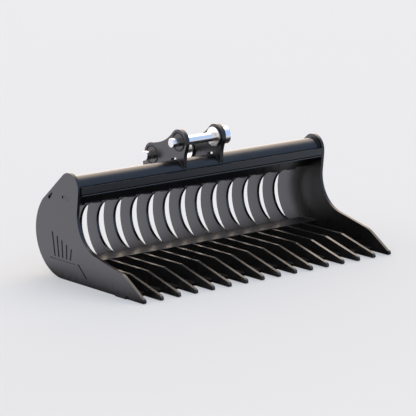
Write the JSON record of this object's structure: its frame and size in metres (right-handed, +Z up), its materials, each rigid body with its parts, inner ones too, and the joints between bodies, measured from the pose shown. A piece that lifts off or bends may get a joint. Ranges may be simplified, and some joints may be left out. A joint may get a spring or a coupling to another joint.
{
  "type": "skeleton bucket",
  "caption": "Wide skeleton (riddle) bucket: C-shaped tines between two side plates, a torque tube on top and two hanger ears with removable pins.",
  "frame": {"origin": "on the ground under the middle of the side profile, halfway across the width", "axes": "+X across the width to the right seen from the mouth, +Y from the tine tips to the back, +Z up"},
  "size_m": [1.531, 0.826, 0.6432],
  "materials": {
    "black_paint": "semi-gloss black enamel over steel, a little dust and rub wear on the edges",
    "zinc_plate": "bright zinc plating with fine turning marks",
    "zinc_fastener": "zinc-plated bolt steel, slightly duller than the pins"
  },
  "bodies": {
    "bucket": {"side_plate_left": "black_paint", "side_plate_right": "black_paint", "tine_01": "black_paint", "tine_02": "black_paint", "tine_03": "black_paint", "tine_04": "black_paint", "tine_05": "black_paint", "tine_06": "black_paint", "tine_07": "black_paint", "tine_08": "black_paint", "tine_09": "black_paint", "tine_10": "black_paint", "tine_11": "black_paint", "tine_12": "black_paint", "tine_13": "black_paint", "tine_14": "black_paint", "torque_tube": "black_paint", "front_bar": "black_paint", "rear_plate": "black_paint", "floor_plate": "black_paint", "heel_bar": "black_paint", "toe_bar": "black_paint", "ear_left": "black_paint", "ear_right": "black_paint", "boss_left_front": "black_paint", "boss_left_rear": "black_paint", "boss_right_front": "black_paint", "boss_right_rear": "black_paint"},
    "front_pin_set": {"front_pin": "zinc_plate", "front_collar": "zinc_plate", "front_bolt": "zinc_fastener", "front_nut": "zinc_fastener"},
    "rear_pin_set": {"rear_pin": "zinc_plate", "rear_collar": "zinc_plate", "rear_bolt": "zinc_fastener", "rear_nut": "zinc_fastener"},
    "front_spacer_ring": {"front_spacer": "zinc_plate"},
    "rear_spacer_ring": {"rear_spacer": "zinc_plate"}
  },
  "joints": [
    {"name": "front_pin_slide", "type": "slide", "parent": "bucket", "child": "front_pin_set", "axis": [1, 0, 0], "range_m": [0, 0.56]},
    {"name": "front_spacer_slide", "type": "slide", "parent": "bucket", "child": "front_spacer_ring", "axis": [-1, 0, 0], "range_m": [0, 0.187]},
    {"name": "rear_pin_slide", "type": "slide", "parent": "bucket", "child": "rear_pin_set", "axis": [1, 0, 0], "range_m": [0, 0.56]},
    {"name": "rear_spacer_slide", "type": "slide", "parent": "bucket", "child": "rear_spacer_ring", "axis": [-1, 0, 0], "range_m": [0, 0.187]}
  ]
}
